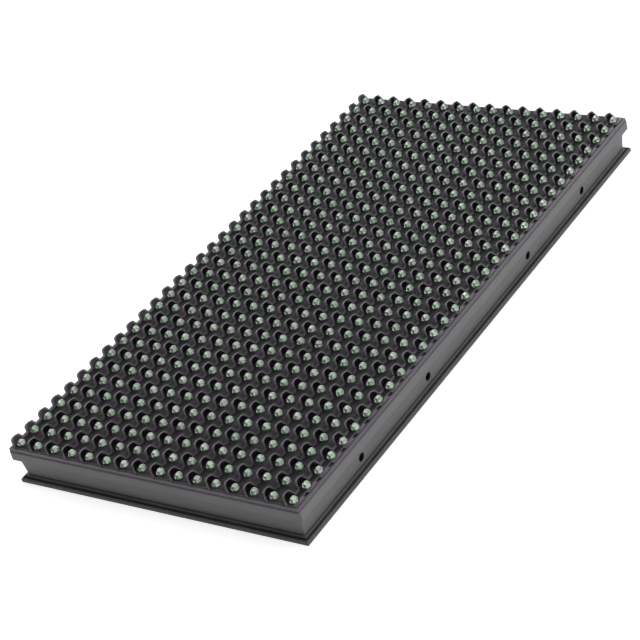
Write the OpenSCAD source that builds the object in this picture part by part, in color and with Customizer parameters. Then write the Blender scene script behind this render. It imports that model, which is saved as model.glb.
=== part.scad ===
// Outdoor dot matrix display module: a grid of lights on a circuit board, behind a moulded
// mask that has a rain and sun visor over every light, in an open-backed case with a rubber
// seal. +Z points out of the display's face, +X along its long side and +Y up the display,
// where the visors are. The origin is the middle of the seal's resting plane.

/* [Display grid] */
// Distance between neighbouring lights
pitch = 10; // [9.5:0.1:12]
// Lights along the long side
cols = 32; // [28:2:40]
// Lights along the short side
rows = 16; // [16:2:24]

/* [Lights] */
// Radius of a light's lens
lens_r = 1.9; // [1.7:0.05:2]
// Height of a light above the board
lens_h = 5.7; // [5:0.1:6.5]
// Width that the collar at a lens's foot adds to its radius
collar_step = 0.3; // [0.1:0.05:0.35]
// Height of that collar
collar_h = 1; // [0.6:0.1:1.2]

/* [Visor mask] */
// Thickness of the mask's plate
mask_t = 2.1; // [1.8:0.1:3]
// How far the mask stands back from the case's outline
lip_inset = 0.6; // [0.6:0.05:0.9]
// Width of the low lip round the plate
lip_w = 1; // [0.7:0.1:1.3]
// Height of the step from the lip up to the plate
lip_drop = 0.4; // [0.2:0.1:0.8]
// Clearance round a lens where it passes through the plate
lens_gap = 0.3; // [0.2:0.05:0.5]
// Inner radius of a visor
hood_r = 3.4; // [3.1:0.05:3.55]
// Wall thickness of a visor
hood_t = 0.8; // [0.6:0.05:0.8]
// Height of a visor above the plate, over its light
hood_h = 3.1; // [2.5:0.1:5]
// Distance up the display from a light's centre to the place where its visor starts to rise
hood_start = 1.2; // [0.6:0.1:1.4]
// Distance up the display from a light's centre to the place where its visor is at full height
hood_full = 3.1; // [2.6:0.1:3.3]
// Height up the display of the web that joins neighbouring visors
web_top = 1.8; // [1.6:0.1:2.2]
// Width of a drain notch in the lower edge
drain_w = 3; // [1.5:0.25:4]
// Length of a drain notch across the edge
drain_l = 1.4; // [0.8:0.1:1.6]
// Depth of a drain notch
drain_d = 1.2; // [0.6:0.1:1.6]
// Thickness of the skirt that presses on the board's edge
skirt_t = 0.5; // [0.4:0.05:0.6]
// Radius of a screw post under the plate
post_r = 2.4; // [2:0.1:2.8]

/* [Case] */
// Height of the case's rim above the resting plane
case_h = 18.1; // [17:0.1:22]
// Height of the wide band under the mask
band_h = 4.4; // [3.5:0.1:5.5]
// Corner radius of the band
band_r = 1.5; // [0.5:0.25:2]
// How far the wall is set in just under the band
recess = 2.5; // [1.5:0.1:3]
// How much further in the wall's foot is
taper = 1; // [0.2:0.1:1.4]
// Thickness of the wall at its foot
wall_t = 2; // [1.6:0.1:2.4]
// Thickness of the band's rim beside the board
rim_t = 1.8; // [1.4:0.1:2]
// Thickness of the ledge round the back
back_t = 1.8; // [1.4:0.1:3]
// Width of that ledge, from inside the wall
ledge_w = 9; // [8.5:0.5:12]
// Thickness of the ribs across the back
rib_t = 2.4; // [1.6:0.1:3]
// Lights from the middle to a rib that crosses the short way
rib_cols = 6; // [6:1:8]
// Lights from the middle to a rib that crosses the long way
rib_rows = 3; // [3:1:4]
// Radius of the vent holes in the long walls
vent_r = 2; // [1.5:0.1:2.5]
// Distance from the middle to the inner vent holes
vent_near = 49.5; // [40:0.5:54]
// Distance from the middle to the outer vent holes
vent_far = 108.7; // [100:0.1:120]
// Height of the vent holes
vent_z = 7.4; // [6:0.1:9]

/* [Seal] */
// How far the seal stands behind the case's back
seal_proud = 0.8; // [0.4:0.1:1.5]
// How far the seal stands back from the case's outline
seal_inset = 0.6; // [0.3:0.1:0.9]
// Height of the seal's outer lip
seal_lip_h = 2.4; // [2:0.1:2.8]
// Height of the seal's inner ridge
seal_ridge_h = 3.4; // [3.1:0.1:4]
// Width of the groove between the lip and the ridge
seal_groove_w = 0.9; // [0.6:0.1:1.1]
// Width of the seal under the case
seal_foot_w = 3; // [2:0.25:4]

/* [Fixings] */
// Radius of a threaded insert's hole
insert_hole_r = 1.5; // [1.25:0.25:2]
// Outer radius of a threaded insert
insert_r = 2.3; // [2.2:0.1:2.6]
// Length of a threaded insert
insert_l = 6; // [4:0.5:8]
// Radius of a boss on the case
boss_r = 4; // [3.6:0.1:4.4]
// Radius of a screw's shank
screw_r = 1.1; // [0.9:0.1:1.3]
// Radius of a screw's head
screw_head_r = 2.2; // [1.9:0.1:2.4]
// Height of a screw's head
screw_head_h = 1.6; // [1.2:0.1:2]
// Depth of the counterbore over a screw's head
counterbore = 6; // [4:0.5:8]

/* [Board and its parts] */
// Thickness of the circuit board
board_t = 1.6; // [1:0.1:2]
// Depth of the board's face below the case's rim
board_drop = 1.3; // [1.2:0.1:1.6]
// Distance between pins of a signal socket
pin_pitch = 2.54; // [2:0.02:2.54]
// Pins in a row of a signal socket
pin_count = 8; // [5:1:10]
// Lights from the module's end to a signal socket
socket_cols = 3; // [3:1:4]
// Depth of a signal socket, from the board to its mouth
socket_h = 9.2; // [8:0.1:10.5]
// Wall thickness of a signal socket
socket_wall = 1.2; // [0.8:0.1:1.5]
// Distance between the pins of the power socket
power_pitch = 3.96; // [3.5:0.02:3.96]
// Pins in the power socket
power_pins = 4; // [2:1:4]
// Radius of a smoothing capacitor's can
can_r = 4; // [3:0.25:4.2]
// Height of a smoothing capacitor
can_h = 10; // [8:0.5:11]

/* [Hidden] */
$fn = 48;

// Clearances
fit = 0.1;      // round a piece that drops into a pocket
skin = 0.05;    // round a piece that is potted, pressed or screwed in
over = 1;       // how far a cutting shape runs past what it cuts

// Overall sizes and heights
module_l = cols * pitch;
module_w = rows * pitch;
plate_top = case_h + mask_t;
board_top = case_h - board_drop;
board_back = board_top - board_t;
case_back = seal_proud;
band_z = case_h - band_h;
foot_inset = recess + taper;
cavity_inset = foot_inset + wall_t;
ledge_inset = cavity_inset + ledge_w;
board_inset = rim_t + fit;
collar_r = lens_r + collar_step;
hood_out_r = hood_r + hood_t;
hood_root = lip_drop + 0.2;

// The lights' places
led_x = [for (j = [0 : cols - 1]) (j - (cols - 1) / 2) * pitch];
led_y = [for (i = [0 : rows - 1]) (i - (rows - 1) / 2) * pitch];

// The ribs' places, and those of the fixings on them and on the ledge
rib_x = rib_cols * pitch;
rib_y = rib_rows * pitch;
rib_gap = 0.5;
edge_x = module_l / 2 - pitch;
edge_y = module_w / 2 - pitch;
insert_places = [for (x = [-edge_x, 0, edge_x]) for (y = [-edge_y, edge_y]) [x, y]];
screw_places = concat(
    [for (x = [-rib_x, rib_x]) for (y = [-edge_y, -rib_y, rib_y, edge_y]) [x, y]],
    [for (x = [-edge_x, edge_x]) for (y = [-rib_y, rib_y]) [x, y]]);
screw_seat = case_back + counterbore;
screw_tip = plate_top - 1;
slot_w = 0.6;

// Packages on the board's back: length, width, height, legs on a side, leg spacing, leg width
sop16 = [9.9, 3.9, 1.5, 8, 1.27, 0.42];
sop8 = [4.9, 3.9, 1.5, 4, 1.27, 0.42];
tssop20 = [6.5, 4.4, 1, 10, 0.65, 0.25];
leg_reach = 1.05;
leg_t = 0.2;
chip_gap = 0.1;
dot_r = 0.45;
pack_size = [3.2, 1.6, 0.5];
ceramic_size = [2, 1.25, 0.8];

// Their places: the drivers lie in the bays beside the ribs, midway between rows of lights
end_bay = module_l / 2 - ledge_inset - rib_x;
driver_x = [rib_x / 4, rib_x * 3 / 4, rib_x + end_bay / 4, rib_x + end_bay * 3 / 4];
driver_y = round((rib_rows + rows / 2 - 1) / 2) * pitch;
driver_places = [for (x = driver_x) for (s = [-1, 1]) for (t = [-1, 1]) [s * x, t * driver_y]];
pack_y = driver_y - pitch;
pack_places = [for (p = driver_places) for (s = [-1, 1]) [p[0] + s * 3, sign(p[1]) * pack_y]];
ceramic_places = [for (p = driver_places) [p[0] + 7.5, p[1]]];
logic_places = [for (y = [-pitch, pitch]) [-rib_x - 2 * pitch, y]];
buffer_places = [for (y = [-pitch, pitch]) [-rib_x - 4 * pitch, y]];
switch_places = [for (x = [-19.5, -6.5, 6.5, 19.5]) for (y = [-2, 2]) [x, y * pitch]];
can_x = 26;
bung_h = 1;
crimp = 0.4;

// Sockets
pin_w = 0.64;
socket_w = 8.9;
socket_l = (pin_count - 1) * pin_pitch + 10.2;
socket_floor = 2.6;
socket_x = module_l / 2 - socket_cols * pitch;
pin_end = 1.4;
key_w = 4.5;
power_w = 8.2;
power_l = (power_pins - 1) * power_pitch + 3.9;
power_h = 9.4;
power_floor = 3.4;
power_wall = 1.4;
blade_w = 1.14;

// ---- helpers -------------------------------------------------------------------------

// The module's outline, set in, with corners rounded by r
module outline(inset, r = 0) {
    l = module_l - 2 * inset;
    w = module_w - 2 * inset;
    square([l - 2 * r, w], center = true);
    if (r > 0) {
        square([l, w - 2 * r], center = true);
        for (x = [-1, 1]) for (y = [-1, 1]) translate([x * (l / 2 - r), y * (w / 2 - r)]) circle(r = r);
    }
}

module slab(inset, z0, z1, r = 0) {
    translate([0, 0, z0]) linear_extrude(z1 - z0) outline(inset, r);
}

// A block whose four sides follow one profile of [inset, height] points
module profiled_block(profile) {
    intersection() {
        rotate([90, 0, 90]) linear_extrude(module_l, center = true) side_section(profile, module_w);
        rotate([90, 0, 0]) linear_extrude(module_w, center = true) side_section(profile, module_l);
    }
}

module side_section(profile, span) {
    n = len(profile);
    polygon(concat(
        [for (p = profile) [p[0] - span / 2, p[1]]],
        [for (k = [n - 1 : -1 : 0]) [span / 2 - profile[k][0], profile[k][1]]]));
}

// A frame of four bars with mitred corners, whose section is given as [inset, height] points
module mitred_frame(section, depth) {
    for (side = [0, 1]) mirror([0, side, 0]) mitred_bar(section, depth, module_l, module_w);
    for (side = [0, 1]) mirror([side, 0, 0]) rotate(-90) mitred_bar(section, depth, module_w, module_l);
}

module mitred_bar(section, depth, length, across) {
    intersection() {
        translate([-length / 2, -across / 2, 0]) rotate([90, 0, 90]) linear_extrude(length) polygon(section);
        translate([0, -across / 2, -over]) linear_extrude(case_h) polygon([[-length / 2, 0],
            [length / 2, 0], [length / 2 - depth, depth], [depth - length / 2, depth]]);
    }
}

// A box that stands on the board's back, centred on [x, y]
module on_board(place, size, gap = 0) {
    translate([place[0] - size[0] / 2, place[1] - size[1] / 2, board_back - gap - size[2]]) cube(size);
}

// ---- the display's face --------------------------------------------------------------

module face_mask() color([0.22, 0.21, 0.23]) {
    difference() {
        union() {
            for (i = [0 : rows - 1]) mask_row(i);
            skirt();
            for (p = screw_places) translate([p[0], p[1], board_top])
                cylinder(r = post_r, h = case_h - board_top);
        }
        for (p = screw_places) translate([p[0], p[1], board_top - over])
            cylinder(r = screw_r + skin, h = screw_tip + 2 * skin - board_top + over);
    }
}

// The plate and the visors of one row of lights; the end rows stop at the lip
module mask_row(i) {
    low = i == 0 ? lip_inset : 0;
    high = i == rows - 1 ? lip_inset : 0;
    translate([0, led_y[i], 0]) {
        difference() {
            translate([0, 0, case_h]) linear_extrude(mask_t) difference() {
                translate([lip_inset - module_l / 2, low - pitch / 2])
                    square([module_l - 2 * lip_inset, pitch - low - high]);
                for (x = led_x) translate([x, 0]) circle(r = lens_r + lens_gap);
            }
            lip_step(i);
            if (i == 0) drain_notches();
        }
        visor_row();
    }
}

// What the step down to the lip takes off a row
module lip_step(i) {
    across = lip_inset + lip_w;
    for (side = [0, 1]) mirror([side, 0, 0])
        translate([-module_l / 2, -pitch, plate_top - lip_drop]) cube([across, 2 * pitch, lip_drop + over]);
    if (i == 0) edge_step(across);
    if (i == rows - 1) mirror([0, 1, 0]) edge_step(across);
}

module edge_step(across) {
    translate([-module_l / 2, -pitch / 2, plate_top - lip_drop]) cube([module_l, across, lip_drop + over]);
}

// Notches that let water off the plate's lower edge, between the lights
module drain_notches() {
    for (j = [1 : cols - 1]) translate([j * pitch - module_l / 2 - drain_w / 2,
        lip_inset + lip_w - fit - pitch / 2, plate_top - drain_d]) cube([drain_w, drain_l + fit, drain_d + over]);
}

// One row of visors: half rings joined by webs, all cut by one slope
module visor_row() {
    rise = (hood_full - hood_start) / hood_h;
    root_y = hood_start - rise * hood_root;
    back = hood_out_r + over;
    intersection() {
        translate([0, 0, plate_top - hood_root]) linear_extrude(hood_h + hood_root) difference() {
            union() {
                for (x = led_x) translate([x, 0]) circle(r = hood_out_r);
                translate([led_x[0], root_y]) square([module_l - pitch, web_top - root_y]);
            }
            for (x = led_x) translate([x, 0]) circle(r = hood_r);
        }
        rotate([90, 0, 90]) linear_extrude(module_l, center = true)
            polygon([[root_y, plate_top - hood_root], [hood_full + rise * over, plate_top + hood_h + over],
                [back, plate_top + hood_h + over], [back, plate_top - hood_root]]);
    }
}

// A thin wall under the plate's edge, as four bars, which presses on the board
module skirt() {
    l = module_l - 2 * board_inset;
    w = module_w - 2 * board_inset;
    for (side = [0, 1]) mirror([0, side, 0])
        translate([-l / 2, -w / 2, board_top]) cube([l, skirt_t, case_h - board_top]);
    for (side = [0, 1]) mirror([side, 0, 0])
        translate([-l / 2, -w / 2, board_top]) cube([skirt_t, w, case_h - board_top]);
}

module leds() color([0.62, 0.70, 0.62]) {
    for (x = led_x) for (y = led_y) translate([x, y, board_top]) rotate_extrude() led_section();
}

module led_section() {
    square([collar_r, collar_h]);
    square([lens_r, lens_h - lens_r]);
    intersection() {
        translate([0, lens_h - lens_r]) circle(r = lens_r);
        square([lens_r, lens_h]);
    }
}

module sealant() color([0.30, 0.31, 0.32]) {
    translate([0, 0, board_top]) linear_extrude(board_drop - fit) difference() {
        outline(board_inset + skirt_t + skin);
        for (x = led_x) for (y = led_y) translate([x, y]) circle(r = collar_r + skin);
        for (p = screw_places) translate(p) circle(r = post_r + skin);
    }
}

// ---- the board -----------------------------------------------------------------------

module circuit_board() color([0.07, 0.30, 0.16]) {
    translate([0, 0, board_back]) linear_extrude(board_t) difference() {
        outline(board_inset);
        for (p = screw_places) translate(p) circle(r = screw_r + 2 * fit);
    }
}

// ---- the case and its seal -----------------------------------------------------------

module case() color([0.36, 0.36, 0.37]) {
    difference() {
        union() {
            case_shell();
            ribs();
            bosses();
        }
        for (p = insert_places) translate([p[0], p[1], case_back - over])
            cylinder(r = insert_r + skin, h = insert_l + 2 * over);
        for (p = screw_places) translate([p[0], p[1], case_back - over]) {
            cylinder(r = screw_head_r + 2 * fit, h = counterbore + over);
            cylinder(r = screw_r + 2 * fit, h = board_back - case_back + 2 * over);
        }
        for (x = [-vent_far, -vent_near, vent_near, vent_far]) translate([x, 0, vent_z])
            rotate([90, 0, 0]) cylinder(r = vent_r, h = module_w, center = true);
    }
}

module case_shell() {
    edge = 0.3;
    difference() {
        intersection() {
            profiled_block([[foot_inset, case_back], [foot_inset, seal_ridge_h], [recess, band_z],
                [0, band_z], [0, case_h - edge], [edge, case_h]]);
            slab(0, 0, case_h, band_r);
        }
        slab(rim_t, board_back, case_h + over);
        slab(cavity_inset, case_back + back_t, case_h);
        slab(ledge_inset, case_back - over, case_h);
    }
}

// Ribs across the open back, which meet the walls
module ribs() {
    h = board_back - rib_gap - case_back;
    l = module_l - 2 * cavity_inset + fit;
    w = module_w - 2 * cavity_inset + fit;
    for (y = [-rib_y, rib_y]) translate([-l / 2, y - rib_t / 2, case_back]) cube([l, rib_t, h]);
    for (x = [-rib_x, rib_x]) translate([x - rib_t / 2, -w / 2, case_back]) cube([rib_t, w, h]);
}

// Bosses for the screws and the inserts, tied to the walls where they are near them
module bosses() {
    h = board_back - case_back;
    for (p = concat(insert_places, screw_places)) translate([p[0], p[1], case_back])
        cylinder(r = boss_r, h = h);
    web = pitch - cavity_inset + fit;
    for (x = [-edge_x, 0, edge_x]) for (s = [-1, 1])
        translate([x - rib_t / 2, s * (edge_y + web / 2) - web / 2, case_back]) cube([rib_t, web, h]);
}

module seal_ring() color([0.16, 0.16, 0.17]) {
    lip_w = foot_inset - seal_inset - seal_groove_w - seal_ridge_w();
    lip_in = seal_inset + lip_w;
    ridge_in = lip_in + seal_groove_w;
    mitred_frame([[seal_inset + 0.3, 0], [seal_inset, 0.4], [seal_inset, seal_lip_h - 0.5],
        [seal_inset + 0.35, seal_lip_h], [lip_in - 0.15, seal_lip_h], [lip_in, seal_lip_h - 0.4],
        [lip_in, seal_proud + 0.2], [ridge_in, seal_proud + 0.2], [ridge_in, seal_ridge_h - 0.3],
        [ridge_in + 0.3, seal_ridge_h], [foot_inset, seal_ridge_h], [foot_inset, seal_proud],
        [foot_inset + seal_foot_w, seal_proud], [foot_inset + seal_foot_w, 0]],
        foot_inset + seal_foot_w);
}

function seal_ridge_w() = 1.2;

// ---- fixings -------------------------------------------------------------------------

module threaded_inserts() color([0.80, 0.66, 0.35]) {
    for (p = insert_places) translate([p[0], p[1], case_back]) linear_extrude(insert_l) difference() {
        circle(r = insert_r);
        circle(r = insert_hole_r);
    }
}

module mask_screws() color([0.70, 0.70, 0.72]) {
    for (p = screw_places) translate([p[0], p[1], screw_seat]) {
        difference() {
            translate([0, 0, -screw_head_h]) cylinder(r = screw_head_r, h = screw_head_h);
            for (turn = [0, 90]) rotate(turn)
                translate([-screw_head_r * 0.6, -slot_w / 2, -screw_head_h - over])
                cube([screw_head_r * 1.2, slot_w, screw_head_h / 2 + over]);
        }
        cylinder(r = screw_r, h = screw_tip - screw_seat);
    }
}

// ---- sockets -------------------------------------------------------------------------

// A shrouded socket for a ribbon cable, with its key slot on the side that faces the middle
module signal_socket(x) {
    side = -sign(x);
    in_w = socket_w - 2 * socket_wall;
    in_l = socket_l - 2 * socket_wall;
    deep = socket_h - socket_floor;
    difference() {
        on_board([x, 0], [socket_w, socket_l, socket_h]);
        on_board([x, 0], [in_w, in_l, deep + over], socket_floor);
        on_board([x + side * socket_w / 2, 0], [2 * socket_wall + fit, key_w, deep + over], socket_floor);
        for (p = pin_grid()) on_board([x + p[0], p[1]], [pin_w + 2 * skin, pin_w + 2 * skin, socket_floor + over]);
    }
}

function pin_grid() = [for (s = [-0.5, 0.5]) for (k = [0 : pin_count - 1])
    [s * pin_pitch, (k - (pin_count - 1) / 2) * pin_pitch]];

module signal_pins(x) {
    for (p = pin_grid()) on_board([x + p[0], p[1]], [pin_w, pin_w, socket_h - pin_end]);
}

module input_socket() color([0.12, 0.12, 0.13]) signal_socket(-socket_x);
module output_socket() color([0.12, 0.12, 0.13]) signal_socket(socket_x);
module input_pins() color([0.82, 0.70, 0.40]) signal_pins(-socket_x);
module output_pins() color([0.82, 0.70, 0.40]) signal_pins(socket_x);

// A power socket: a base with one tall wall that the plug latches on
module power_socket() color([0.88, 0.87, 0.82]) {
    difference() {
        union() {
            on_board([0, 0], [power_l, power_w, power_floor]);
            on_board([0, (power_w - power_wall) / 2], [power_l, power_wall, power_h]);
        }
        for (x = blade_x()) on_board([x, 0], [blade_w + 2 * skin, blade_w + 2 * skin, power_floor + over]);
        on_board([0, (power_w - power_wall) / 2], [power_l / 2, power_wall + over, 2], power_h - 2 - power_wall);
    }
}

function blade_x() = [for (k = [0 : power_pins - 1]) (k - (power_pins - 1) / 2) * power_pitch];

module power_blades() color([0.75, 0.76, 0.78]) {
    for (x = blade_x()) on_board([x, 0], [blade_w, blade_w, power_h - pin_end]);
}

// ---- chips and small parts -----------------------------------------------------------

// A moulded package: drafted sides, and a dimple that marks the first leg
module chip(place, size) {
    draft = 0.15;
    mid = size[2] / 2;
    half = size[1] / 2;
    translate([place[0], place[1], board_back - chip_gap - size[2]]) difference() {
        rotate([90, 0, 90]) linear_extrude(size[0], center = true)
            polygon([[draft - half, 0], [half - draft, 0], [half, mid], [half - draft, size[2]],
                [draft - half, size[2]], [-half, mid]]);
        translate([2 * dot_r - size[0] / 2, 2 * dot_r - half, -over]) cylinder(r = dot_r, h = over + leg_t);
    }
}

// Gull-wing legs down both sides of a package
module legs(place, size) {
    mid = size[2] / 2 + chip_gap;
    half = size[1] / 2;
    for (s = [0, 1]) for (k = [0 : size[3] - 1])
        translate([place[0] + (k - (size[3] - 1) / 2) * size[4], place[1], board_back])
            mirror([0, s, 0]) rotate([90, 0, 90]) linear_extrude(size[5], center = true)
            polygon([[half, -mid], [half + 0.3, -mid], [half + 0.55, -leg_t], [half + leg_reach, -leg_t],
                [half + leg_reach, 0], [half + 0.4, 0], [half + 0.15, leg_t - mid], [half, leg_t - mid]]);
}

module driver_chips() color([0.13, 0.13, 0.14]) for (p = driver_places) chip(p, sop16);
module logic_chips() color([0.13, 0.13, 0.14]) for (p = logic_places) chip(p, sop16);
module buffer_chips() color([0.13, 0.13, 0.14]) for (p = buffer_places) chip(p, tssop20);
module row_switches() color([0.13, 0.13, 0.14]) for (p = switch_places) chip(p, sop8);

module chip_legs() color([0.75, 0.76, 0.78]) {
    for (p = concat(driver_places, logic_places)) legs(p, sop16);
    for (p = buffer_places) legs(p, tssop20);
    for (p = switch_places) legs(p, sop8);
}

module capacitor_cans() color([0.20, 0.22, 0.30]) {
    for (x = [-can_x, can_x]) translate([x, 0, board_back - bung_h]) mirror([0, 0, 1]) rotate_extrude()
        polygon([[0, 0], [can_r, 0], [can_r, 0.8], [can_r - crimp, 1.3], [can_r, 1.8],
            [can_r, can_h - bung_h - 0.3], [can_r - 0.3, can_h - bung_h], [0, can_h - bung_h]]);
}

module capacitor_bungs() color([0.10, 0.10, 0.10]) {
    for (x = [-can_x, can_x]) translate([x, 0, board_back - bung_h]) cylinder(r = can_r - crimp, h = bung_h);
}

module chip_capacitors() color([0.72, 0.60, 0.45]) for (p = ceramic_places) on_board(p, ceramic_size);
module resistor_packs() color([0.14, 0.14, 0.15]) for (p = pack_places) on_board(p, pack_size);

face_mask();
leds();
sealant();
circuit_board();
case();
seal_ring();
threaded_inserts();
mask_screws();
input_socket();
output_socket();
input_pins();
output_pins();
power_socket();
power_blades();
driver_chips();
logic_chips();
buffer_chips();
row_switches();
chip_legs();
capacitor_cans();
capacitor_bungs();
chip_capacitors();
resistor_packs();
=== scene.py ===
"""Finish of an outdoor dot matrix display module: a grid of domed lights behind a visored mask."""

import math

import bmesh
import bpy
from mathutils import Matrix, Vector


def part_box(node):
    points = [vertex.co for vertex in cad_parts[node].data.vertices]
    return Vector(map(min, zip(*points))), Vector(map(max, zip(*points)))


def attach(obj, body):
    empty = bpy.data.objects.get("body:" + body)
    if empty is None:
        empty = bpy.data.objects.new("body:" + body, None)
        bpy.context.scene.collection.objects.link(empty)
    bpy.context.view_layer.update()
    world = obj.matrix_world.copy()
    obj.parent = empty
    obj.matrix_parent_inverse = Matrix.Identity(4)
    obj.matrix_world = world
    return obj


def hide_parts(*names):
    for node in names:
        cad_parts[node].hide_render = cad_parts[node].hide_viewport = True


bl_info = {
    "name": "Dot matrix module finish",
    "version": (1, 0, 0),
    "blender": (4, 5, 0),
    "location": "View3D > Sidebar > Dot matrix",
    "description": "Lens domes, mask, case, board and fixings of an outdoor dot matrix module",
    "category": "Object",
}

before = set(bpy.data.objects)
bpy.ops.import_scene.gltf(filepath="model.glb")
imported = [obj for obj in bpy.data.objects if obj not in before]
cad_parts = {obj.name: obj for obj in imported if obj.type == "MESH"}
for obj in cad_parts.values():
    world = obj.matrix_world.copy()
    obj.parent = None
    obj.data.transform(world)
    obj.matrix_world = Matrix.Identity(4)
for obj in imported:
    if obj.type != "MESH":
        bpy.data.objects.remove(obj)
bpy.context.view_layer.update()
MM = 0.001
BODY = "root"


# ---- sizes and colours a user would change ------------------------------------------------------


class GridSizes(bpy.types.PropertyGroup):
    pitch: bpy.props.FloatProperty(
        name="Pitch", description="Distance between neighbouring lights", default=10 * MM, unit="LENGTH")
    columns: bpy.props.IntProperty(
        name="Columns", description="Lights along the long side", default=32)
    rows: bpy.props.IntProperty(
        name="Rows", description="Lights along the short side", default=16)


class LensSizes(bpy.types.PropertyGroup):
    radius: bpy.props.FloatProperty(
        name="Radius", description="Radius of a lens", default=1.9 * MM, unit="LENGTH")
    height: bpy.props.FloatProperty(
        name="Height", description="From the board to the top of a lens", default=5.7 * MM, unit="LENGTH")
    collar_radius: bpy.props.FloatProperty(
        name="Collar radius", description="Radius of the collar at a lens's foot", default=2.2 * MM,
        unit="LENGTH")
    collar_height: bpy.props.FloatProperty(
        name="Collar height", description="Height of that collar", default=1.0 * MM, unit="LENGTH")
    sides: bpy.props.IntProperty(
        name="Sides", description="Sides round a lens", default=16)
    rings: bpy.props.IntProperty(
        name="Rings", description="Rings of faces up the dome", default=4)
    colour: bpy.props.FloatVectorProperty(
        name="Colour", description="Diffused epoxy of a lens", subtype="COLOR",
        default=(0.76, 0.93, 0.76))


class LeadFrameSizes(bpy.types.PropertyGroup):
    cathode: bpy.props.FloatVectorProperty(
        name="Cathode post", description="Length, width and top above the dome's centre", size=3,
        default=(2.2 * MM, 0.84 * MM, -0.35 * MM), unit="LENGTH")
    anode: bpy.props.FloatVectorProperty(
        name="Anode post", description="Length, width and top above the dome's centre", size=3,
        default=(1.6 * MM, 0.8 * MM, 0.8 * MM), unit="LENGTH")
    foot: bpy.props.FloatVectorProperty(
        name="Foot", description="Length, width and top above the dome's centre", size=3,
        default=(2.7 * MM, 2.6 * MM, -0.75 * MM), unit="LENGTH")
    places: bpy.props.FloatVectorProperty(
        name="Places", description="Where cathode, anode and foot stand across the light", size=3,
        default=(-0.7 * MM, 0.25 * MM, 0.0), unit="LENGTH")
    clearance: bpy.props.FloatProperty(
        name="Clearance", description="Epoxy left under the lead frame", default=0.1 * MM, unit="LENGTH")


class SolderSizes(bpy.types.PropertyGroup):
    radius: bpy.props.FloatProperty(
        name="Radius", description="Radius of a solder joint", default=0.75 * MM, unit="LENGTH")
    height: bpy.props.FloatProperty(
        name="Height", description="Height of a solder joint", default=0.9 * MM, unit="LENGTH")
    spacing: bpy.props.FloatProperty(
        name="Spacing", description="Distance between the two leads of a light", default=2.54 * MM,
        unit="LENGTH")
    wall: bpy.props.FloatProperty(
        name="Wall", description="Width of the board's edge that the case covers", default=3.7 * MM,
        unit="LENGTH")


class VentSizes(bpy.types.PropertyGroup):
    radius: bpy.props.FloatProperty(
        name="Radius", description="Radius of a vent hole in a long wall", default=2.0 * MM, unit="LENGTH")
    height: bpy.props.FloatProperty(
        name="Height", description="Height of the vent holes", default=7.4 * MM, unit="LENGTH")
    places: bpy.props.FloatVectorProperty(
        name="Places", description="Distances of the vent holes from the middle", size=2,
        default=(49.5 * MM, 108.7 * MM), unit="LENGTH")
    wall: bpy.props.FloatProperty(
        name="Wall", description="Width of the case's edge in which the throats of the vents are dark",
        default=7.0 * MM, unit="LENGTH")


class MaskSizes(bpy.types.PropertyGroup):
    visor_height: bpy.props.FloatProperty(
        name="Visor height", description="From the mask's plate to the top of a visor", default=3.1 * MM,
        unit="LENGTH")
    end_border: bpy.props.FloatProperty(
        name="End border", description="Width of the smooth border along a short side", default=1.3 * MM,
        unit="LENGTH")
    side_border: bpy.props.FloatProperty(
        name="Side border", description="Width of the smooth border along a long side", default=2.9 * MM,
        unit="LENGTH")
    # Halo and front place the painted reflection of the lights on the mask's plate
    halo: bpy.props.FloatVectorProperty(
        name="Halo", description="Distances from a light at which the pale finish starts to fade and ends",
        size=2, default=(2.2 * MM, 3.8 * MM), unit="LENGTH")
    front: bpy.props.FloatVectorProperty(
        name="Front", description="Places across a light between which the pale finish fades", size=2,
        default=(-3.2 * MM, 0.3 * MM), unit="LENGTH")


class PlasticColours(bpy.types.PropertyGroup):
    mask: bpy.props.FloatVectorProperty(
        name="Mask", description="Moulded mask and visors", subtype="COLOR", default=(0.006, 0.005, 0.0065))
    # painted reflection: the paler plate round the foot of each light and in front of it
    plate: bpy.props.FloatVectorProperty(
        name="Plate", description="Mask at the foot of the lights", subtype="COLOR",
        default=(0.036, 0.036, 0.037))
    # painted highlight: the lighter grey of the up-facing visor tops and the mask's border
    rim_highlight: bpy.props.FloatVectorProperty(
        name="Rim", description="Smoother rims of the visors and border of the mask", subtype="COLOR",
        default=(0.105, 0.095, 0.112))
    case: bpy.props.FloatVectorProperty(
        name="Case", description="Moulded case", subtype="COLOR", default=(0.165, 0.163, 0.166))
    seal: bpy.props.FloatVectorProperty(
        name="Seal", description="Rubber seal", subtype="COLOR", default=(0.085, 0.085, 0.088))


class StageSettings(bpy.types.PropertyGroup):
    azimuth: bpy.props.FloatProperty(
        name="Azimuth", description="Where the camera stands round the module, in degrees",
        default=-49.43)
    elevation: bpy.props.FloatProperty(
        name="Elevation", description="How far the camera looks down, in degrees", default=32.05)
    roll: bpy.props.FloatProperty(
        name="Roll", description="Turn of the camera about its own axis, in degrees", default=-15.88)
    distance: bpy.props.FloatProperty(
        name="Distance", description="From the camera to the point it looks at", default=0.9515,
        unit="LENGTH")
    aim: bpy.props.FloatVectorProperty(
        name="Aim", description="The point that the camera looks at", subtype="XYZ",
        default=(-0.03763, -0.01471, 0.0206))
    lens: bpy.props.FloatProperty(
        name="Focal length", description="On a sensor 36 mm wide, in millimetres", default=115.48)
    front: bpy.props.FloatProperty(
        name="Front", description="Strength of the whole room", default=0.3)
    behind: bpy.props.FloatProperty(
        name="Behind", description="Strength of the backdrop low behind the module", default=2.6)
    backdrop: bpy.props.FloatProperty(
        name="Backdrop", description="Where the backdrop stands round the module, in degrees", default=110.0)


# ---- materials ----------------------------------------------------------------------------------


def fade(tree, source, low, high, start, end):
    """A smooth change from start to end as the source goes from low to high."""
    node = tree.nodes.new("ShaderNodeMapRange")
    node.interpolation_type = "SMOOTHSTEP"
    for name, value in (("From Min", low), ("From Max", high), ("To Min", start), ("To Max", end)):
        node.inputs[name].default_value = value
    tree.links.new(source, node.inputs["Value"])
    return node.outputs["Result"]


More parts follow.
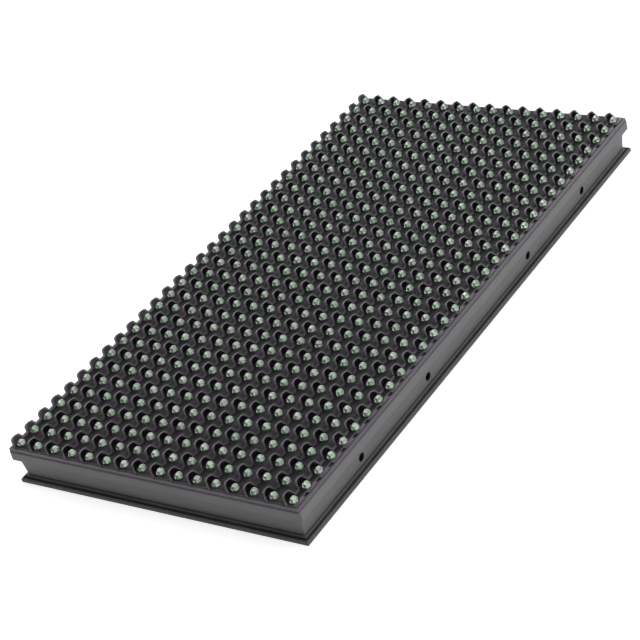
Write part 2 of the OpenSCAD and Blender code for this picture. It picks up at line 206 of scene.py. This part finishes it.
class Recipe:
    """A material being built: its nodes, its shader and short ways to add to them."""

    def __init__(self, name):
        self.material = bpy.data.materials.new(name)
        self.material.use_nodes = True
        self.nodes = self.material.node_tree.nodes
        self.links = self.material.node_tree.links
        self.shader = self.nodes["Principled BSDF"]
        self.place = self.nodes.new("ShaderNodeTexCoord").outputs["Object"]

    def set(self, **values):
        for name, value in values.items():
            self.shader.inputs[name.replace("_", " ")].default_value = value
        return self

    def noise(self, scale, detail=4.0):
        node = self.nodes.new("ShaderNodeTexNoise")
        node.inputs["Scale"].default_value = scale
        node.inputs["Detail"].default_value = detail
        self.links.new(self.place, node.inputs["Vector"])
        return node.outputs["Fac"]

    def ramp(self, source, stops):
        """A colour that goes from one stop's to the other's."""
        node = self.nodes.new("ShaderNodeValToRGB")
        for element, (at, colour) in zip(node.color_ramp.elements, stops):
            element.position = at
            element.color = colour
        self.links.new(source, node.inputs["Fac"])
        return node.outputs["Color"]

    def shade(self, source, colour, low, high, start=0.3, end=0.7):
        """One colour, from darker to lighter."""
        return self.ramp(source, [(start, rgba(colour, low)), (end, rgba(colour, high))])

    def spread(self, source, low, high):
        """A value from low to high as the source goes from 0 to 1."""
        node = self.nodes.new("ShaderNodeMapRange")
        node.inputs["To Min"].default_value = low
        node.inputs["To Max"].default_value = high
        self.links.new(source, node.inputs["Value"])
        return node.outputs["Result"]

    def math(self, operation, *values):
        """A Math node on sockets or plain numbers."""
        node = self.nodes.new("ShaderNodeMath")
        node.operation = operation
        for socket, value in zip(node.inputs, values):
            if isinstance(value, (int, float)):
                socket.default_value = value
            else:
                self.links.new(value, socket)
        return node.outputs["Value"]

    def step(self, source, low, high, start=0.0, end=1.0):
        return fade(self.material.node_tree, source, low, high, start, end)

    def length(self, *sides):
        """The length whose square is the sum of these sides' squares."""
        total = self.math("POWER", sides[0], 2.0)
        for side in sides[1:]:
            total = self.math("ADD", total, self.math("POWER", side, 2.0))
        return self.math("SQRT", total)

    def attribute(self, name):
        node = self.nodes.new("ShaderNodeAttribute")
        node.attribute_name = name
        return node.outputs["Fac"]

    def parts(self, vector):
        """The X, Y and Z of a vector."""
        node = self.nodes.new("ShaderNodeSeparateXYZ")
        self.links.new(vector, node.inputs["Vector"])
        return node.outputs

    def blend(self, factor, low, high):
        """The first colour at factor 0 and the second at 1."""
        node = self.nodes.new("ShaderNodeMix")
        node.data_type = "RGBA"
        self.links.new(factor, node.inputs["Factor"])
        first, second = (socket for socket in node.inputs if socket.type == "RGBA")
        self.links.new(low, first)
        self.links.new(high, second)
        return next(socket for socket in node.outputs if socket.type == "RGBA")

    def feed(self, source, socket):
        self.links.new(source, self.shader.inputs[socket])

    def bump(self, source, depth):
        node = self.nodes.new("ShaderNodeBump")
        node.inputs["Strength"].default_value = 1.0
        node.inputs["Distance"].default_value = depth
        self.links.new(source, node.inputs["Height"])
        self.links.new(node.outputs["Normal"], self.shader.inputs["Normal"])


def rgba(colour, gain=1.0):
    return (colour[0] * gain, colour[1] * gain, colour[2] * gain, 1.0)


def moulded_plastic(name, colour, roughness):
    """Matte moulded plastic: a fine spark-eroded grain, a faint flow mottle and duller patches."""
    recipe = Recipe(name)
    recipe.feed(recipe.shade(recipe.noise(28.0, 3.0), colour, 0.92, 1.08), "Base Color")
    recipe.feed(recipe.spread(recipe.noise(90.0), roughness - 0.06, roughness + 0.08), "Roughness")
    recipe.bump(recipe.noise(2600.0, 2.0), 0.03 * MM)
    return recipe.material


def case_plastic(name, colour, vents, inside):
    """Grey moulded plastic, with painted shade: the throats of the vents in the long walls are painted near
    black.
    """
    recipe = Recipe(name)
    x, y, z = recipe.parts(recipe.place)
    rise = recipe.math("SUBTRACT", z, vents.height)
    near, far = (recipe.length(recipe.math("SUBTRACT", recipe.math("ABSOLUTE", x), middle), rise)
                 for middle in vents.places)
    edge = vents.radius + 0.05 * MM
    # painted shade: the throats of the vent holes in the outer long walls are painted near black, where
    # shade falls
    throat = recipe.math("MULTIPLY", recipe.step(recipe.math("ABSOLUTE", y), inside, inside + 0.1 * MM),
                         recipe.step(recipe.math("MINIMUM", near, far), edge, edge + 0.1 * MM, 1.0, 0.0))
    mottle = recipe.noise(28.0, 3.0)
    wall = recipe.shade(mottle, colour, 0.93, 1.07)
    # painted shade colour for the vent throats
    throat_shade = recipe.ramp(mottle, [(0.3, (0.004, 0.004, 0.004, 1.0)), (0.7, (0.008, 0.008, 0.008, 1.0))])
    recipe.feed(recipe.blend(throat, wall, throat_shade), "Base Color")
    recipe.feed(recipe.spread(recipe.noise(90.0), 0.46, 0.6), "Roughness")
    recipe.bump(recipe.noise(2600.0, 2.0), 0.03 * MM)
    return recipe.material


def from_light(recipe, value, pitch):
    """How far a place along X or Y lies from the nearest light, with its sign."""
    turn = recipe.math("FRACT", recipe.math("DIVIDE", value, pitch))
    return recipe.math("MULTIPLY", recipe.math("SUBTRACT", turn, 0.5), pitch)


def plate_reflection_mask(recipe, x, y, pitch, mask):
    """Where the painted reflection of the lights lies: 1 on the plate at the foot of each light and in front
    of it, and 0 under the visors, in patches.
    """
    across, along = from_light(recipe, x, pitch), from_light(recipe, y, pitch)
    halo = recipe.step(recipe.length(across, along), mask.halo[0], mask.halo[1], 1.0, 0.0)
    reflection_ahead = recipe.step(along, mask.front[0], mask.front[1], 0.9, 0.0)
    patches = recipe.step(recipe.noise(340.0, 2.0), 0.4, 0.62, 0.15, 1.0)
    return recipe.math("MULTIPLY", recipe.math("MAXIMUM", halo, reflection_ahead), patches)


def mask_plastic(name, colours, mask, pitch, high):
    """Black visor mask: a deep grain between the lights; smoother rims and border, painted a lighter grey as
    a painted highlight; and a painted reflection of the lights on the plate round and in front of each
    light.
    """
    recipe = Recipe(name).set(Specular_IOR_Level=0.38, Specular_Tint=(1.0, 0.93, 1.0, 1.0))
    x, y, z = recipe.parts(recipe.place)
    plate = high.z - mask.visor_height
    end, side = high.x - mask.end_border, high.y - mask.side_border
    facing = recipe.parts(recipe.nodes.new("ShaderNodeNewGeometry").outputs["Normal"])["Z"]
    flat = recipe.step(facing, 0.7, 0.85)
    # painted highlight: the up-facing tops of the visors and the border take a lighter grey; their lower
    # roughness is real
    over = recipe.math("MULTIPLY", recipe.step(z, plate + 0.1 * MM, plate + 0.3 * MM), flat)
    out_x = recipe.step(recipe.math("ABSOLUTE", x), end, end + 0.1 * MM)
    out_y = recipe.step(recipe.math("ABSOLUTE", y), side, side + 0.1 * MM)
    smooth = recipe.math("MAXIMUM", over, recipe.math("MAXIMUM", out_x, out_y))
    # painted reflection: the plate is paler round the foot of each light and in front of it
    level = recipe.math("MULTIPLY", recipe.step(z, plate + 0.05 * MM, plate + 0.15 * MM, 1.0, 0.0), flat)
    pale = recipe.math("MULTIPLY", level, plate_reflection_mask(recipe, x, y, pitch, mask))
    mottle = recipe.noise(28.0, 3.0)
    deep, plate_reflection, rim_highlight = (recipe.shade(mottle, colour, 0.9, 1.1)
                             for colour in (colours.mask, colours.plate, colours.rim_highlight))
    recipe.feed(recipe.blend(smooth, recipe.blend(pale, deep, plate_reflection), rim_highlight), "Base Color")
    recipe.feed(recipe.spread(recipe.math("SUBTRACT", flat, smooth), 0.28, 0.72), "Roughness")
    recipe.bump(recipe.noise(2200.0, 2.0), 0.03 * MM)
    return recipe.material


def rubber(name, colour):
    """Dull black or grey rubber with dusty patches."""
    recipe = Recipe(name).set(IOR=1.45)
    recipe.feed(recipe.shade(recipe.noise(60.0, 5.0), colour, 0.85, 1.15, end=0.75), "Base Color")
    recipe.feed(recipe.spread(recipe.noise(140.0), 0.5, 0.68), "Roughness")
    recipe.bump(recipe.noise(900.0, 3.0), 0.02 * MM)
    return recipe.material


def metal(name, colour, roughness):
    """Plated or cast metal, a little darker and duller in places."""
    recipe = Recipe(name).set(Metallic=1.0)
    tone = recipe.noise(160.0)
    recipe.feed(recipe.shade(tone, colour, 0.85, 1.1), "Base Color")
    recipe.feed(recipe.spread(tone, roughness - 0.08, roughness + 0.1), "Roughness")
    recipe.bump(tone, 0.005 * MM)
    return recipe.material


def lens_epoxy(name, lens):
    """Lightly diffused epoxy, tinted green, through which the lead frame shows."""
    recipe = Recipe(name).set(Roughness=0.13, IOR=1.5, Transmission_Weight=0.83, Subsurface_Weight=0.8,
                              Subsurface_Scale=0.0015, Subsurface_Radius=(0.7, 1.0, 0.7))
    recipe.feed(recipe.shade(recipe.attribute("tone"), lens.colour, 0.86, 1.1, 0.0, 1.0), "Base Color")
    return recipe.material


def board_lacquer(name):
    """Green solder mask over copper tracks, which show as a lighter, raised net."""
    recipe = Recipe(name).set(Coat_Weight=0.3, Coat_Roughness=0.2)
    tracks = recipe.nodes.new("ShaderNodeTexBrick")
    for socket, value in (("Scale", 180.0), ("Mortar Size", 0.06), ("Color1", (0.012, 0.085, 0.035, 1.0)),
                          ("Color2", (0.014, 0.095, 0.04, 1.0)), ("Mortar", (0.03, 0.17, 0.07, 1.0))):
        tracks.inputs[socket].default_value = value
    recipe.links.new(recipe.place, tracks.inputs["Vector"])
    recipe.feed(tracks.outputs["Color"], "Base Color")
    recipe.feed(recipe.spread(recipe.noise(60.0), 0.28, 0.42), "Roughness")
    recipe.bump(tracks.outputs["Fac"], 0.03 * MM)
    return recipe.material


def gloss_plastic(name, colour):
    """Smooth plastic sleeve."""
    recipe = Recipe(name)
    recipe.feed(recipe.shade(recipe.noise(80.0), colour, 0.9, 1.1), "Base Color")
    recipe.feed(recipe.spread(recipe.noise(120.0), 0.2, 0.32), "Roughness")
    recipe.bump(recipe.noise(700.0, 2.0), 0.01 * MM)
    return recipe.material


def dress(node, material):
    """Gives a node of the frame this material all over."""
    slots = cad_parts[node].data.materials
    if not slots:
        slots.append(material)
    for k in range(len(slots)):
        slots[k] = material


# ---- shapes that repeat -------------------------------------------------------------------------


def finished(name, shape):
    """A mesh object, off the scene, from a bmesh that is done with."""
    mesh = bpy.data.meshes.new(name)
    shape.to_mesh(mesh)
    shape.free()
    return bpy.data.objects.new(name, mesh)


def turned(name, profile, sides):
    """A closed solid of revolution about Z, from a profile of [radius, height] points."""
    shape = bmesh.new()
    loops = []
    for radius, height in profile:
        if radius == 0.0:
            loops.append([shape.verts.new((0.0, 0.0, height))] * sides)
            continue
        turns = [2 * math.pi * k / sides for k in range(sides)]
        loops.append([shape.verts.new((radius * math.cos(t), radius * math.sin(t), height)) for t in turns])
    for low, high in zip(loops, loops[1:]):
        for k in range(sides):
            n = (k + 1) % sides
            corners = [low[k], low[n], high[n], high[k]]
            shape.faces.new(list(dict.fromkeys(corners))).smooth = True
    bmesh.ops.recalc_face_normals(shape, faces=shape.faces)
    return finished(name, shape)


class NodeTree:
    """A tree of Geometry Nodes being built, with named inputs."""

    def __init__(self, name):
        self.tree = bpy.data.node_groups.new(name, "GeometryNodeTree")
        self.tree.interface.new_socket("Geometry", in_out="OUTPUT", socket_type="NodeSocketGeometry")
        self.start = self.tree.nodes.new("NodeGroupInput")
        self.keys = {}

    def input(self, name, kind, value):
        socket = self.tree.interface.new_socket(name, in_out="INPUT", socket_type="NodeSocket" + kind)
        self.keys[socket.identifier] = value
        return self.start.outputs[name]

    def node(self, kind, values=None, **settings):
        node = self.tree.nodes.new(kind)
        for name, value in settings.items():
            setattr(node, name, value)
        for name, value in (values or {}).items():
            socket = node.inputs[name]
            if isinstance(value, bpy.types.NodeSocket):
                self.tree.links.new(value, socket)
            else:
                socket.default_value = value
        return node

    def math(self, operation, a, b):
        node = self.node("ShaderNodeMath", {0: a, 1: b}, operation=operation)
        return node.outputs["Value"]

    def shape(self, piece):
        """Another object's mesh, as a named input."""
        given = self.node("GeometryNodeObjectInfo", {"Object": self.input("Shape", "Object", piece)})
        return given.outputs["Geometry"]

    def make(self, name, copies, material):
        """Ends the tree, runs it and returns the result as a plain mesh object."""
        real = self.node("GeometryNodeRealizeInstances", {"Geometry": copies})
        dressed = self.node("GeometryNodeSetMaterial", {
            "Geometry": real.outputs["Geometry"], "Material": self.input("Material", "Material", material)})
        end = self.node("NodeGroupOutput")
        self.tree.links.new(dressed.outputs["Geometry"], end.inputs["Geometry"])
        holder = bpy.data.objects.new(name, bpy.data.meshes.new(name + "_start"))
        bpy.context.scene.collection.objects.link(holder)
        modifier = holder.modifiers.new(name, "NODES")
        modifier.node_group = self.tree
        for key, value in self.keys.items():
            modifier[key] = value
        mesh = bpy.data.meshes.new_from_object(holder.evaluated_get(bpy.context.evaluated_depsgraph_get()))
        bpy.data.objects.remove(holder)
        mesh.name = name
        piece = bpy.data.objects.new(name, mesh)
        bpy.context.scene.collection.objects.link(piece)
        return piece


def lens_shape(lens):
    """One light: a collar, a straight shaft and a round dome, standing on z = 0."""
    shaft = lens.height - lens.radius
    profile = [(0.0, 0.0), (lens.collar_radius, 0.0), (lens.collar_radius, lens.collar_height),
               (lens.radius, lens.collar_height), (lens.radius, shaft)]
    for k in range(1, lens.rings + 1):
        turn = math.pi / 2 * k / lens.rings
        profile.append((lens.radius * math.cos(turn) if k < lens.rings else 0.0,
                        shaft + lens.radius * math.sin(turn)))
    shape = turned("lens_shape", profile, lens.sides)
    shape.data.set_sharp_from_angle(angle=math.radians(40))
    return shape


def light_grid(name, grid, shape, foot, material):
    """A copy of one light at every crossing of the display's grid, each with a tone of its own."""
    tree = NodeTree(name)
    pitch = tree.input("Pitch", "Float", grid.pitch)
    columns = tree.input("Columns", "Int", grid.columns)
    rows = tree.input("Rows", "Int", grid.rows)
    height = tree.input("Foot", "Float", foot)
    sheet = tree.node("GeometryNodeMeshGrid", {
        "Size X": tree.math("MULTIPLY", tree.math("SUBTRACT", columns, 1.0), pitch),
        "Size Y": tree.math("MULTIPLY", tree.math("SUBTRACT", rows, 1.0), pitch),
        "Vertices X": columns, "Vertices Y": rows})
    lift = tree.node("ShaderNodeCombineXYZ", {"Z": height})
    raised = tree.node("GeometryNodeSetPosition", {
        "Geometry": sheet.outputs["Mesh"], "Offset": lift.outputs["Vector"]})
    copies = tree.node("GeometryNodeInstanceOnPoints", {
        "Points": raised.outputs["Geometry"], "Instance": tree.shape(shape)})
    chance = tree.node("FunctionNodeRandomValue", {"Seed": 7}, data_type="FLOAT")
    tone = next(socket for socket in chance.outputs if socket.type == "VALUE")
    toned = tree.node("GeometryNodeStoreNamedAttribute", {
        "Geometry": copies.outputs["Instances"], "Name": "tone", "Value": tone},
        data_type="FLOAT", domain="INSTANCE")
    return tree.make(name, toned.outputs["Geometry"], material)


def lead_frame_shape(lens, leads):
    """Two silver posts side by side, long in X, on the wide foot that holds them inside a light."""
    shape = bmesh.new()
    centre = lens.height - lens.radius
    for y, (length, width, top) in zip(leads.places, (leads.cathode, leads.anode, leads.foot)):
        height = centre + top
        place = Matrix.Translation((0.0, y, height / 2 + leads.clearance))
        place = place @ Matrix.Diagonal((length, width, height, 1.0))
        bmesh.ops.create_cube(shape, size=1.0, matrix=place)
    return finished("lead_frame_shape", shape)


def copies_at(name, places, shape, material):
    """A copy of one shape at each of these places."""
    tree = NodeTree(name)
    spots = bpy.data.meshes.new(name + "_places")
    spots.from_pydata(places, [], [])
    holder = bpy.data.objects.new(name + "_places", spots)
    points = tree.node("GeometryNodeObjectInfo", {"Object": tree.input("Places", "Object", holder)})
    copies = tree.node("GeometryNodeInstanceOnPoints", {
        "Points": points.outputs["Geometry"], "Instance": tree.shape(shape)})
    return tree.make(name, copies.outputs["Instances"], material)


def joint_shape(solder):
    """One solder joint: a concave cone round the end of a lead, hanging from z = 0."""
    r, h = solder.radius, solder.height
    profile = [(0.0, 0.0), (r, 0.0), (0.62 * r, -0.22 * h), (0.36 * r, -0.6 * h), (0.3 * r, -0.92 * h),
               (0.0, -h)]
    return turned("joint_shape", profile, sides=8)


def covered(x, y, blocks, reach):
    """Whether a spot's reach meets one of these blocks, each a middle and half its sides."""
    return any(abs(x - middle_x) < half_x + reach and abs(y - middle_y) < half_y + reach
               for middle_x, middle_y, half_x, half_y in blocks)


def joint_places(grid, solder, level, blocks):
    """Both leads of every light, apart from those that a wall or a part on the board covers."""
    places = []
    for column in range(grid.columns):
        for row in range(grid.rows):
            light_x = (column - (grid.columns - 1) / 2) * grid.pitch
            y = (row - (grid.rows - 1) / 2) * grid.pitch
            for x in (light_x - solder.spacing / 2, light_x + solder.spacing / 2):
                if not covered(x, y, blocks, solder.radius):
                    places.append((x, y, level))
    return places


def blocks_on_board(low, high, wall):
    """The sockets and the edges of the board that the case covers."""
    blocks = []
    for node in ("input_socket", "output_socket", "power_socket"):
        start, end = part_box(node)
        middle, half = (start + end) / 2, (end - start) / 2
        blocks.append((middle.x, middle.y, half.x, half.y))
    blocks += [(x, 0.0, wall, high.y) for x in (low.x, high.x)]
    blocks += [(0.0, y, high.x, wall) for y in (low.y, high.y)]
    return blocks


# ---- the pieces ---------------------------------------------------------------------------------


class FinishMask(bpy.types.Operator):
    """Give the mask and its visors their moulded finish, with a painted highlight on the rims and border and
    a painted reflection of the lights on the plate
    """
    bl_idname = "dot_matrix.finish_mask"
    bl_label = "Mask"

    def execute(self, context):
        scene = context.scene
        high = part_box("face_mask")[1]
        dress("face_mask", mask_plastic("mask_plastic", scene.dot_matrix_plastic, scene.dot_matrix_mask,
                                        scene.dot_matrix_grid.pitch, high))
        return {"FINISHED"}


class FinishLenses(bpy.types.Operator):
    """Make the lights of diffused epoxy, with a lead frame in each"""
    bl_idname = "dot_matrix.finish_lenses"
    bl_label = "Lenses"

    def execute(self, context):
        grid, lens = context.scene.dot_matrix_grid, context.scene.dot_matrix_lens
        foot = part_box("leds")[0].z
        lights = light_grid("lights", grid, lens_shape(lens), foot, lens_epoxy("lens_epoxy", lens))
        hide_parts("leds")
        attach(lights, BODY)
        leads = lead_frame_shape(lens, context.scene.dot_matrix_leads)
        silver = metal("lead_silver", (0.97, 0.98, 0.95), 0.4)
        lead_frames = light_grid("lead_frames", grid, leads, foot, silver)
        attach(lead_frames, BODY)
        return {"FINISHED"}


class FinishCase(bpy.types.Operator):
    """Give the case and its seal their plastic and rubber"""
    bl_idname = "dot_matrix.finish_case"
    bl_label = "Case and seal"

    def execute(self, context):
        colours, vents = context.scene.dot_matrix_plastic, context.scene.dot_matrix_vents
        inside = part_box("case")[1].y - vents.wall
        dress("case", case_plastic("case_plastic", colours.case, vents, inside))
        dress("seal_ring", rubber("seal_rubber", colours.seal))
        dress("sealant", rubber("poured_sealant", (0.1, 0.105, 0.11)))
        return {"FINISHED"}


class FinishBoard(bpy.types.Operator):
    """Give the board, its chips and its small parts their finishes, and add the solder joints"""
    bl_idname = "dot_matrix.finish_board"
    bl_label = "Board"

    def execute(self, context):
        dress("circuit_board", board_lacquer("board_lacquer"))
        grid, solder = context.scene.dot_matrix_grid, context.scene.dot_matrix_solder
        low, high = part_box("circuit_board")
        places = joint_places(grid, solder, low.z, blocks_on_board(low, high, solder.wall))
        joints = copies_at("solder_joints", places, joint_shape(solder),
                           metal("solder", (0.66, 0.67, 0.68), 0.3))
        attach(joints, BODY)
        chip = moulded_plastic("chip_epoxy", (0.022, 0.022, 0.024), 0.5)
        for node in ("driver_chips", "logic_chips", "buffer_chips", "row_switches", "resistor_packs"):
            dress(node, chip)
        dress("chip_legs", metal("leg_tin", (0.62, 0.63, 0.64), 0.35))
        dress("chip_capacitors", moulded_plastic("ceramic", (0.42, 0.3, 0.18), 0.5))
        dress("capacitor_cans", gloss_plastic("can_sleeve", (0.02, 0.03, 0.08)))
        dress("capacitor_bungs", rubber("bung_rubber", (0.02, 0.02, 0.02)))
        return {"FINISHED"}


class FinishSockets(bpy.types.Operator):
    """Give the sockets and their pins their finishes"""
    bl_idname = "dot_matrix.finish_sockets"
    bl_label = "Sockets"

    def execute(self, context):
        black = moulded_plastic("socket_plastic", (0.02, 0.02, 0.022), 0.45)
        gold = metal("pin_gold", (0.78, 0.58, 0.26), 0.25)
        for end in ("input", "output"):
            dress(end + "_socket", black)
            dress(end + "_pins", gold)
        dress("power_socket", moulded_plastic("nylon", (0.72, 0.7, 0.62), 0.45))
        dress("power_blades", metal("blade_tin", (0.62, 0.63, 0.64), 0.3))
        return {"FINISHED"}


class FinishFixings(bpy.types.Operator):
    """Give the screws and the inserts their metals"""
    bl_idname = "dot_matrix.finish_fixings"
    bl_label = "Fixings"

    def execute(self, context):
        dress("mask_screws", metal("screw_zinc", (0.6, 0.6, 0.62), 0.32))
        dress("threaded_inserts", metal("insert_brass", (0.72, 0.52, 0.22), 0.3))
        return {"FINISHED"}


# ---- the stage ----------------------------------------------------------------------------------


def level_frame(azimuth, elevation):
    """The direction back to a camera, and its right and up when it is level."""
    a, e = math.radians(azimuth), math.radians(elevation)
    back = Vector((math.sin(a) * math.cos(e), -math.cos(a) * math.cos(e), math.sin(e)))
    right = Vector((math.cos(a), math.sin(a), 0.0))
    return back, right, back.cross(right)


def place_camera(settings):
    """The camera, looking at the aim point and turned about its own axis."""
    back, right, up = level_frame(settings.azimuth, settings.elevation)
    roll = math.radians(settings.roll)
    right = right * math.cos(roll) + up * math.sin(roll)
    up = back.cross(right)
    camera = bpy.data.cameras.new("camera")
    camera.sensor_width = 36.0
    camera.lens = settings.lens
    camera.clip_start = 0.05
    camera.clip_end = 20.0
    obj = bpy.data.objects.new("camera", camera)
    bpy.context.scene.collection.objects.link(obj)
    turn = Matrix((right, up, back)).transposed().to_4x4()
    obj.matrix_world = Matrix.Translation(Vector(settings.aim) + back * settings.distance) @ turn
    bpy.context.scene.camera = obj


def soft_box(name, azimuth, elevation, distance, size, power):
    """A rectangular lamp that faces the middle of the scene."""
    back, right, up = level_frame(azimuth, elevation)
    light = bpy.data.lights.new(name, "AREA")
    light.shape = "RECTANGLE"
    light.size, light.size_y = size
    light.energy = power
    obj = bpy.data.objects.new(name, light)
    bpy.context.scene.collection.objects.link(obj)
    turn = Matrix((right, up, back)).transposed().to_4x4()
    obj.matrix_world = Matrix.Translation(back * distance) @ turn


def white_room(settings):
    """A white background in a room that is bright low behind the module and dimmer all round."""
    world = bpy.data.worlds.new("room")
    bpy.context.scene.world = world
    world.use_nodes = True
    nodes, links = world.node_tree.nodes, world.node_tree.links
    seen = nodes.new("ShaderNodeBackground")
    seen.inputs["Color"].default_value = (1.0, 1.0, 1.0, 1.0)
    seen.inputs["Strength"].default_value = 1.0
    ambient = nodes["Background"]
    ambient.inputs["Color"].default_value = (0.99, 0.985, 1.0, 1.0)
    place = nodes.new("ShaderNodeTexCoord")
    lean = nodes.new("ShaderNodeVectorMath")
    lean.operation = "DOT_PRODUCT"
    lean.inputs[1].default_value = level_frame(settings.backdrop, 0.0)[0]
    links.new(place.outputs["Generated"], lean.inputs[0])
    height = nodes.new("ShaderNodeSeparateXYZ")
    links.new(place.outputs["Generated"], height.inputs["Vector"])
    band = nodes.new("ShaderNodeMath")
    band.operation = "MULTIPLY_ADD"
    links.new(fade(world.node_tree, lean.outputs["Value"], -0.3, 0.5, 0.0, 1.0), band.inputs[0])
    links.new(fade(world.node_tree, height.outputs["Z"], 0.3, 0.72, settings.behind, 0.0), band.inputs[1])
    band.inputs[2].default_value = settings.front
    links.new(band.outputs["Value"], ambient.inputs["Strength"])
    mix = nodes.new("ShaderNodeMixShader")
    path = nodes.new("ShaderNodeLightPath")
    links.new(path.outputs["Is Camera Ray"], mix.inputs["Fac"])
    links.new(ambient.outputs["Background"], mix.inputs[1])
    links.new(seen.outputs["Background"], mix.inputs[2])
    links.new(mix.outputs["Shader"], nodes["World Output"].inputs["Surface"])


def white_floor():
    """A pale floor that looks white to the camera and in reflections, and keeps the module's shadow."""
    mesh = bpy.data.meshes.new("floor")
    reach = 6.0
    corners = [(-reach, -reach, 0), (reach, -reach, 0), (reach, reach, 0), (-reach, reach, 0)]
    mesh.from_pydata(corners, [], [(0, 1, 2, 3)])
    floor = bpy.data.objects.new("floor", mesh)
    bpy.context.scene.collection.objects.link(floor)
    recipe = Recipe("floor_white").set(Roughness=0.9)
    chalk = [(0.0, (0.8, 0.8, 0.8, 1.0)), (1.0, (0.82, 0.82, 0.82, 1.0))]
    recipe.feed(recipe.ramp(recipe.noise(3.0), chalk), "Base Color")
    glow = recipe.nodes.new("ShaderNodeEmission")
    glow.inputs["Color"].default_value = (1.0, 1.0, 1.0, 1.0)
    path = recipe.nodes.new("ShaderNodeLightPath")
    add = recipe.nodes.new("ShaderNodeAddShader")
    seen = recipe.math("MAXIMUM", path.outputs["Is Camera Ray"], path.outputs["Is Glossy Ray"])
    seen = recipe.math("MAXIMUM", seen, path.outputs["Is Transmission Ray"])
    recipe.links.new(recipe.math("MULTIPLY", seen, 0.7), glow.inputs["Strength"])
    recipe.links.new(recipe.shader.outputs["BSDF"], add.inputs[0])
    recipe.links.new(glow.outputs["Emission"], add.inputs[1])
    recipe.links.new(add.outputs["Shader"], recipe.nodes["Material Output"].inputs["Surface"])
    mesh.materials.append(recipe.material)


class SetStage(bpy.types.Operator):
    """Make the floor, the lights and the camera"""
    bl_idname = "dot_matrix.set_stage"
    bl_label = "Stage"

    def execute(self, context):
        settings = context.scene.dot_matrix_stage
        place_camera(settings)
        white_room(settings)
        white_floor()
        soft_box("overhead", azimuth=10.0, elevation=67.0, distance=1.6, size=(0.7, 0.5), power=4.0)
        context.scene.view_settings.view_transform = "Standard"
        return {"FINISHED"}


class MatrixPanel(bpy.types.Panel):
    """The module's pieces, in the order in which they are finished"""
    bl_idname = "VIEW3D_PT_dot_matrix"
    bl_label = "Dot matrix module"
    bl_space_type = "VIEW_3D"
    bl_region_type = "UI"
    bl_category = "Dot matrix"

    def draw(self, context):
        scene = context.scene
        for name in SETTINGS:
            group = getattr(scene, name)
            for prop in group.__annotations__:
                self.layout.prop(group, prop)
        for operator in OPERATORS:
            self.layout.operator(operator.bl_idname)


SETTINGS = {
    "dot_matrix_grid": GridSizes,
    "dot_matrix_lens": LensSizes,
    "dot_matrix_leads": LeadFrameSizes,
    "dot_matrix_solder": SolderSizes,
    "dot_matrix_vents": VentSizes,
    "dot_matrix_mask": MaskSizes,
    "dot_matrix_plastic": PlasticColours,
    "dot_matrix_stage": StageSettings,
}
OPERATORS = (SetStage, FinishMask, FinishLenses, FinishCase, FinishBoard, FinishSockets, FinishFixings)


def register():
    for group in SETTINGS.values():
        bpy.utils.register_class(group)
    for name, group in SETTINGS.items():
        setattr(bpy.types.Scene, name, bpy.props.PointerProperty(type=group))
    for cls in OPERATORS + (MatrixPanel,):
        bpy.utils.register_class(cls)


def unregister():
    for cls in reversed(OPERATORS + (MatrixPanel,)):
        bpy.utils.unregister_class(cls)
    for name in SETTINGS:
        delattr(bpy.types.Scene, name)
    for group in reversed(tuple(SETTINGS.values())):
        bpy.utils.unregister_class(group)


def main():
    register()
    bpy.ops.dot_matrix.set_stage()
    bpy.ops.dot_matrix.finish_mask()
    bpy.ops.dot_matrix.finish_lenses()
    bpy.ops.dot_matrix.finish_case()
    bpy.ops.dot_matrix.finish_board()
    bpy.ops.dot_matrix.finish_sockets()
    bpy.ops.dot_matrix.finish_fixings()


if __name__ == "__main__":
    main()
